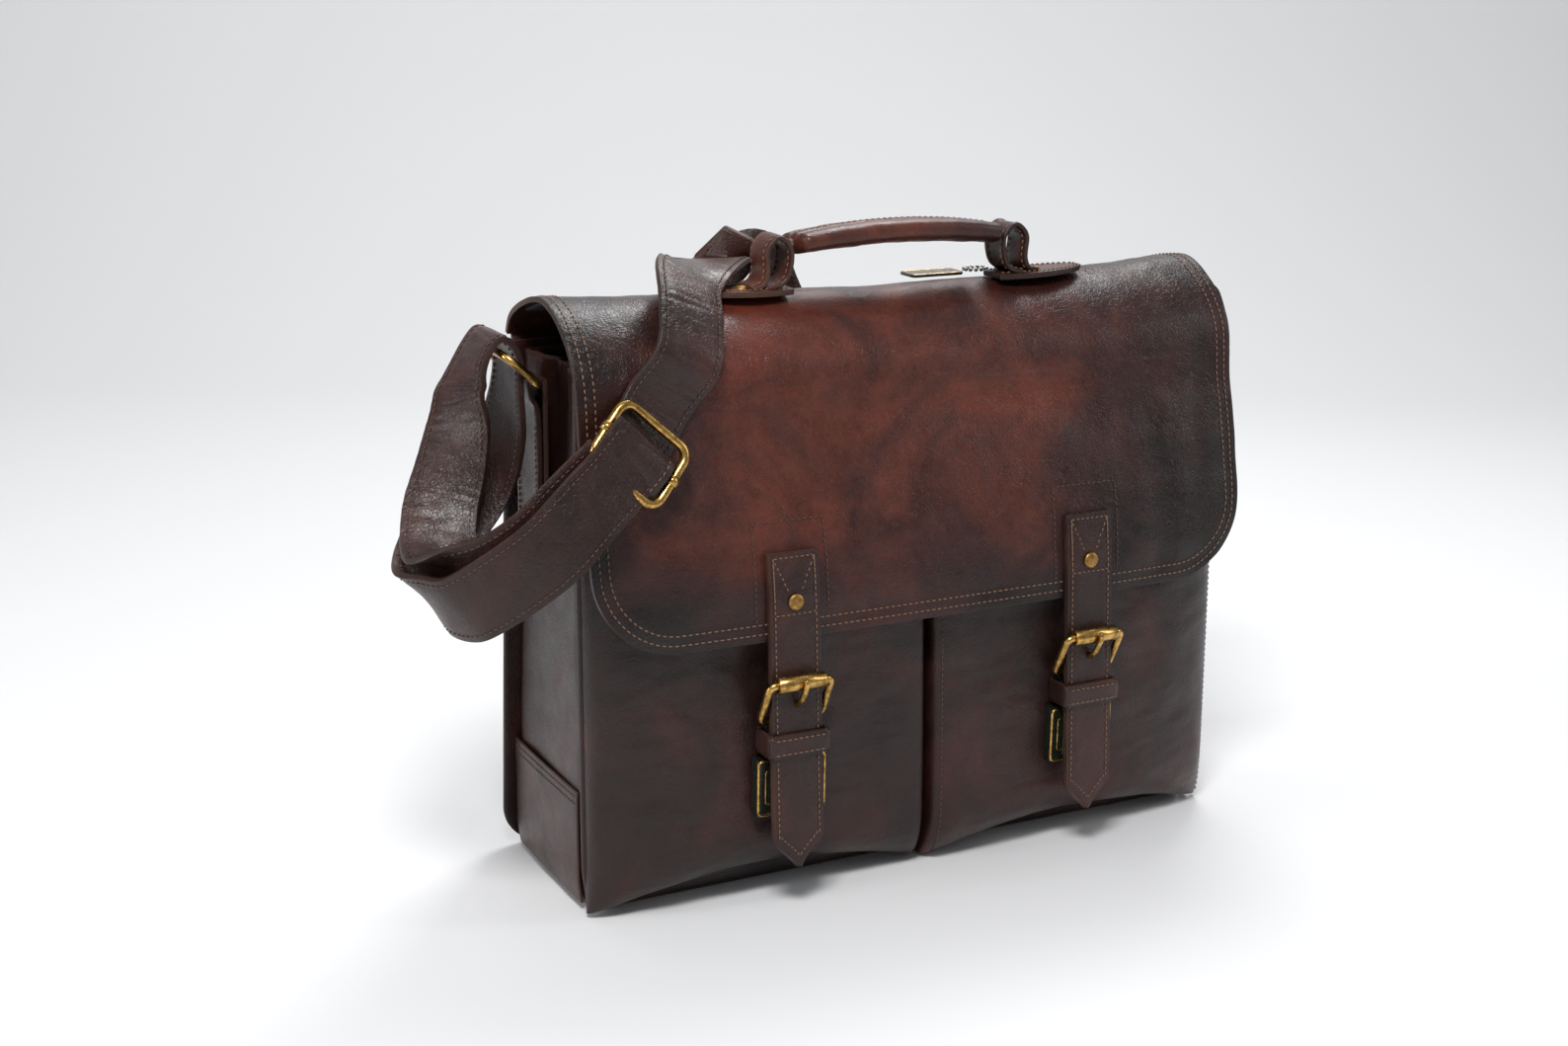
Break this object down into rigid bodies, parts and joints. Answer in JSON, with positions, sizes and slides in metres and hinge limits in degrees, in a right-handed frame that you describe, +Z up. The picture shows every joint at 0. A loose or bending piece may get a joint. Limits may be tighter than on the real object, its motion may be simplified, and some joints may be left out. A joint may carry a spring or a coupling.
{
  "type": "leather satchel bag",
  "caption": "Soft leather satchel with a full flap, buckled closure straps over hidden snaps, front pockets, a padded top handle and an adjustable shoulder strap.",
  "frame": {"origin": "on the ground at the middle of the flat base", "axes": "+X along the bag's width towards its right end seen from the front, -Y out of the front, +Z up"},
  "size_m": [0.5454, 0.1647, 0.3603],
  "materials": {
    "body_leather": "dark brown pull-up cowhide, semi-gloss",
    "flap_leather": "red-brown mottled pull-up cowhide, semi-gloss",
    "strap_leather": "dark brown bridle leather, stitched edges",
    "lining_cloth": "black woven lining",
    "board": "fibre board",
    "aged_brass": "antique brass",
    "dark_steel": "dark nickel plated steel"
  },
  "bodies": {
    "bag_body": {"back_panel": "body_leather", "front_panel": "body_leather", "gusset_left": "body_leather", "gusset_right": "body_leather", "base_gusset": "body_leather", "base_board": "board", "lining": "lining_cloth", "divider": "lining_cloth", "pocket_left": "body_leather", "pocket_right": "body_leather", "flap_yoke": "flap_leather", "clasp_plate_left": "dark_steel", "clasp_plate_right": "dark_steel", "ring_tab_left": "strap_leather", "ring_tab_right": "strap_leather", "shoulder_strap_rear": "strap_leather", "shoulder_strap_ring_end": "strap_leather"},
    "flap_body": {"flap": "flap_leather", "flap_lining": "lining_cloth", "handle_tab_left": "strap_leather", "handle_tab_right": "strap_leather", "handle_rivet_left": "aged_brass", "handle_rivet_right": "aged_brass", "closure_anchor_left": "strap_leather", "closure_anchor_right": "strap_leather", "strap_rivet_left": "aged_brass", "strap_rivet_right": "aged_brass", "shoulder_strap_drape": "strap_leather", "shoulder_strap_front_run": "strap_leather", "shoulder_strap_back_run": "strap_leather", "slider_frame": "aged_brass", "slider_bar": "aged_brass"},
    "handle": {"handle_grip": "strap_leather", "handle_core": "board", "handle_loop_left": "strap_leather", "handle_loop_right": "strap_leather", "tag_chain": "dark_steel"},
    "tag_plate": {"tag": "dark_steel"},
    "closure_left": {"closure_strap_left": "strap_leather", "buckle_frame_left": "aged_brass", "buckle_chape_left": "strap_leather", "clasp_tongue_left": "dark_steel", "keeper_loop_left": "strap_leather"},
    "closure_right": {"closure_strap_right": "strap_leather", "buckle_frame_right": "aged_brass", "buckle_chape_right": "strap_leather", "clasp_tongue_right": "dark_steel", "keeper_loop_right": "strap_leather"},
    "prong_left": {"buckle_prong_left": "aged_brass"},
    "prong_right": {"buckle_prong_right": "aged_brass"},
    "roller_left": {"buckle_roller_left": "aged_brass"},
    "roller_right": {"buckle_roller_right": "aged_brass"},
    "ring_left": {"side_ring_left": "aged_brass"},
    "ring_right": {"side_ring_right": "aged_brass"}
  },
  "joints": [
    {"name": "flap_hinge", "type": "hinge", "parent": "bag_body", "child": "flap_body", "pos_m": [0, 0.0418, 0.298], "axis": [-1, 0, 0], "range_deg": [0, 150]},
    {"name": "handle_tilt", "type": "hinge", "parent": "flap_body", "child": "handle", "pos_m": [0, -0.018, 0.3307], "axis": [1, 0, 0], "range_deg": [0, 60]},
    {"name": "tag_swing", "type": "hinge", "parent": "handle", "child": "tag_plate", "pos_m": [0.057, 0.006, 0.3219], "axis": [0, 1, 0], "range_deg": [0, 30]},
    {"name": "closure_left_swing", "type": "hinge", "parent": "flap_body", "child": "closure_left", "pos_m": [-0.093, -0.0875, 0.16], "axis": [-1, 0, 0], "range_deg": [0, 60]},
    {"name": "closure_right_swing", "type": "hinge", "parent": "flap_body", "child": "closure_right", "pos_m": [0.093, -0.0875, 0.16], "axis": [-1, 0, 0], "range_deg": [0, 60]},
    {"name": "prong_left_lift", "type": "hinge", "parent": "closure_left", "child": "prong_left", "pos_m": [-0.093, -0.08319, 0.106], "axis": [1, 0, 0], "range_deg": [0, 15]},
    {"name": "prong_right_lift", "type": "hinge", "parent": "closure_right", "child": "prong_right", "pos_m": [0.093, -0.08319, 0.106], "axis": [1, 0, 0], "range_deg": [0, 15]},
    {"name": "roller_left_spin", "type": "hinge", "parent": "closure_left", "child": "roller_left", "pos_m": [-0.093, -0.09444, 0.129], "axis": [1, 0, 0], "continuous": true},
    {"name": "roller_right_spin", "type": "hinge", "parent": "closure_right", "child": "roller_right", "pos_m": [0.093, -0.09444, 0.129], "axis": [1, 0, 0], "continuous": true},
    {"name": "ring_left_swing", "type": "hinge", "parent": "bag_body", "child": "ring_left", "pos_m": [-0.2038, 0.006, 0.28], "axis": [0, 1, 0], "range_deg": [0, 4]},
    {"name": "ring_right_swing", "type": "hinge", "parent": "bag_body", "child": "ring_right", "pos_m": [0.2038, 0.006, 0.28], "axis": [0, -1, 0], "range_deg": [0, 4]}
  ]
}
